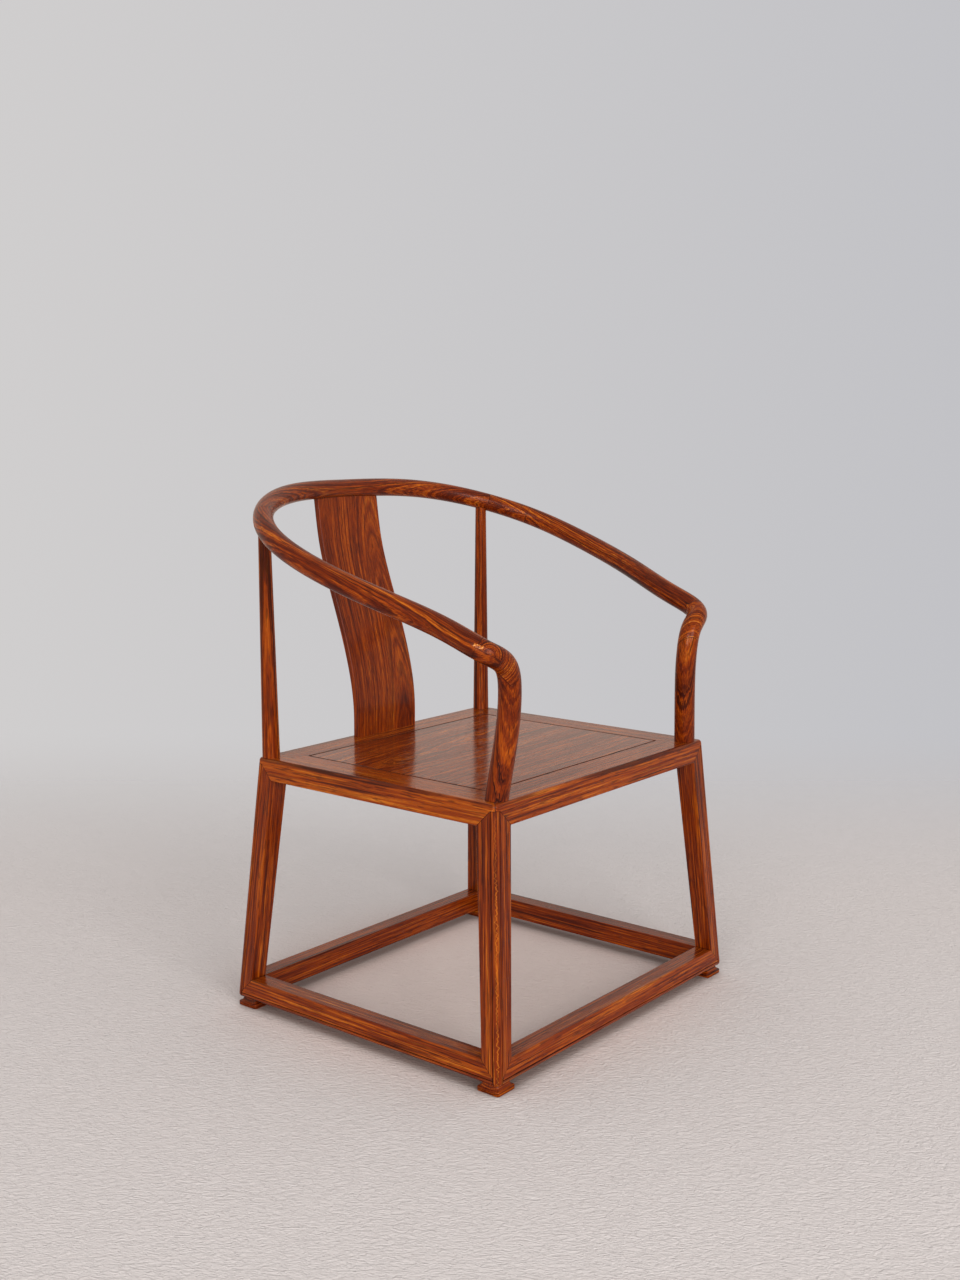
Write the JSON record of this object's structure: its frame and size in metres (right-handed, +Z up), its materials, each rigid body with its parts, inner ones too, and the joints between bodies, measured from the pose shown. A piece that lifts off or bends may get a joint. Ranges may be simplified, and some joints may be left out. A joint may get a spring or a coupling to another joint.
{
  "type": "horseshoe back armchair",
  "caption": "Low armchair with a continuous curved crest and arm rail, a curved flat splat, a framed panel seat, splayed square legs and a mitred base ring on small moulded feet.",
  "frame": {"origin": "on the floor, midway between the front of the base and the back of the crest rail, on the chair's plane of symmetry", "axes": "+Z up, the sitter faces -Y, the sitter's left is +X"},
  "size_m": [0.7674, 0.6484, 0.908],
  "materials": {
    "rosewood": "satin lacquer over open-grained reddish brown hardwood",
    "panel_board": "satin lacquer, wide board with a flame figure",
    "splat_board": "satin lacquer, flat-sawn board with long arched figure",
    "elbow_wood": "satin lacquer, carved across the growth rings",
    "pin_wood": "lighter end grain, flush with the rail"
  },
  "bodies": {
    "root": {"arm_rail_left": "rosewood", "arm_rail_right": "rosewood", "back_post_left": "rosewood", "back_post_right": "rosewood", "back_splat": "splat_board", "base_rail_back": "rosewood", "base_rail_front": "rosewood", "base_rail_left": "rosewood", "base_rail_right": "rosewood", "crest_rail": "rosewood", "elbow_left": "elbow_wood", "elbow_right": "elbow_wood", "foot_back_left": "rosewood", "foot_back_right": "rosewood", "foot_front_left": "rosewood", "foot_front_right": "rosewood", "front_post_left": "rosewood", "front_post_right": "rosewood", "leg_back_left": "rosewood", "leg_back_right": "rosewood", "leg_front_left": "rosewood", "leg_front_right": "rosewood", "scarf_pin_back_left": "pin_wood", "scarf_pin_back_right": "pin_wood", "scarf_pin_elbow_left": "pin_wood", "scarf_pin_elbow_right": "pin_wood", "seat_batten_left": "rosewood", "seat_batten_right": "rosewood", "seat_panel": "panel_board", "seat_rail_back": "rosewood", "seat_rail_front": "rosewood", "seat_rail_left": "rosewood", "seat_rail_right": "rosewood"}
  },
  "joints": []
}
